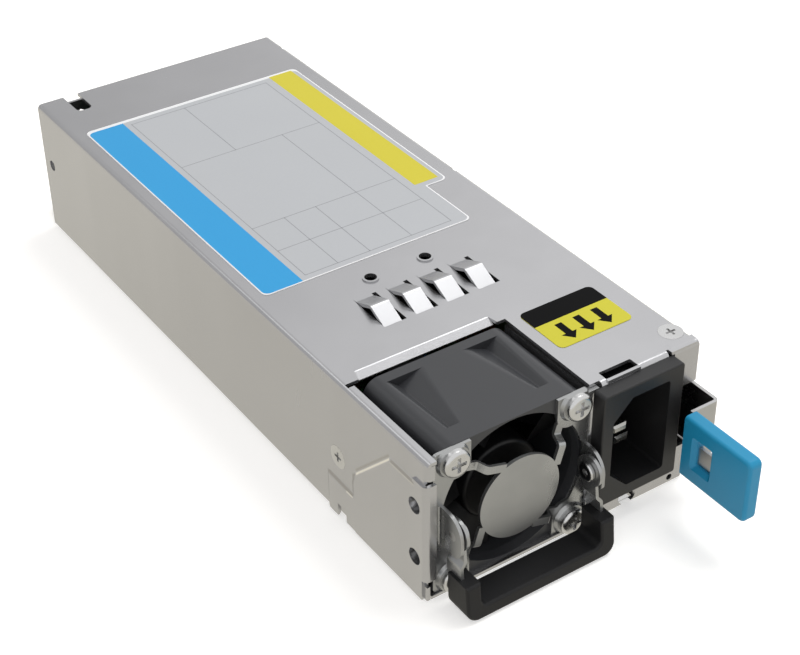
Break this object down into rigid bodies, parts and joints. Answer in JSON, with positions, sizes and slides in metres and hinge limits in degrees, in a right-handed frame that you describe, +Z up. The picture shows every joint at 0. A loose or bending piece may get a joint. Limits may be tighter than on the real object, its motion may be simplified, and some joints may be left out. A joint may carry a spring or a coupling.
{
  "type": "hot swap server power supply",
  "caption": "Slide-in server power supply: steel case with front fan and guard, mains inlet, pull handle, blue release latch and a card edge at the back.",
  "frame": {"origin": "centre of the steel case's underside", "axes": "+Y from the fan end to the card edge, +Z up through the labelled top, +X from the fan side towards the inlet and latch side"},
  "size_m": [0.0755, 0.223, 0.0413],
  "materials": {
    "case_steel": "plated sheet steel, satin",
    "guard_steel": "bright plated steel, satin",
    "screw_steel": "bright zinc plated",
    "spring_steel": "bright spring steel",
    "motor_steel": "turned steel",
    "black_plastic": "fine moulded texture",
    "fan_plastic": "smooth moulded, slightly glossy",
    "blue_plastic": "satin over-mould",
    "grip_rubber": "soft satin over-mould",
    "board_green": "solder mask",
    "gold_plate": "gold plated",
    "pin_brass": "nickel plated brass",
    "film_clear": "thin insulating film",
    "sink_aluminium": "extruded",
    "ferrite": "ground ferrite",
    "powder_core": "coated powder core",
    "winding_copper": "enamelled copper",
    "winding_tape": "polyester tape",
    "can_sleeve": "shrunk sleeve",
    "can_aluminium": "drawn can",
    "package_black": "moulded package",
    "film_box": "moulded box",
    "disc_blue": "dipped coating",
    "fuse_glass": "glass tube with plated caps",
    "magnet": "bonded magnet",
    "plug_white": "moulded nylon"
  },
  "bodies": {
    "case": {"chassis_tray": "case_steel", "top_cover": "case_steel", "cover_screws": "screw_steel", "fan_frame": "fan_plastic", "fan_bearings": "motor_steel", "fan_stator": "winding_copper", "fan_board": "board_green", "fan_guard": "guard_steel", "guard_screws": "screw_steel", "handle_rivets": "screw_steel", "inlet_housing": "black_plastic", "inlet_pins": "pin_brass", "inlet_board": "board_green", "latch_anchor": "spring_steel", "latch_rivets": "screw_steel", "main_board": "board_green", "edge_contacts": "gold_plate", "insulation_sheet": "film_clear", "board_standoffs": "pin_brass", "board_screws": "screw_steel", "control_board": "board_green", "primary_heat_sink": "sink_aluminium", "secondary_heat_sink": "sink_aluminium", "power_transistors": "package_black", "bridge_rectifier": "package_black", "bulk_capacitor": "can_sleeve", "transformer_core": "ferrite", "transformer_winding": "winding_tape", "choke_core": "powder_core", "choke_winding": "winding_copper", "line_choke_cores": "powder_core", "line_choke_windings": "winding_copper", "film_capacitors": "film_box", "disc_capacitors": "disc_blue", "inrush_relay": "package_black", "inlet_fuse": "fuse_glass", "output_capacitors": "can_aluminium", "standby_transformer": "winding_tape", "fan_plug": "plug_white", "fan_lead": "package_black"},
    "rotor": {"fan_impeller": "fan_plastic", "rotor_yoke": "motor_steel", "rotor_magnet": "magnet", "fan_shaft": "motor_steel"},
    "handle": {"handle_bail": "guard_steel", "handle_grip": "grip_rubber"},
    "latch": {"latch_spring": "spring_steel", "latch_tab": "blue_plastic"}
  },
  "joints": [
    {"name": "fan_spin", "type": "hinge", "parent": "case", "child": "rotor", "pos_m": [-0.01325, -0.0775, 0.0198], "axis": [0, -1, 0], "continuous": true},
    {"name": "handle_swing", "type": "hinge", "parent": "case", "child": "handle", "pos_m": [-0.01325, -0.0959, 0.0198], "axis": [-1, 0, 0], "range_deg": [-4, 157]},
    {"name": "latch_flex", "type": "hinge", "parent": "case", "child": "latch", "pos_m": [0.03635, -0.0605, 0.01925], "axis": [0, 0, -1], "range_deg": [0, 5], "stiffness_Nm_per_rad": 1.2}
  ]
}
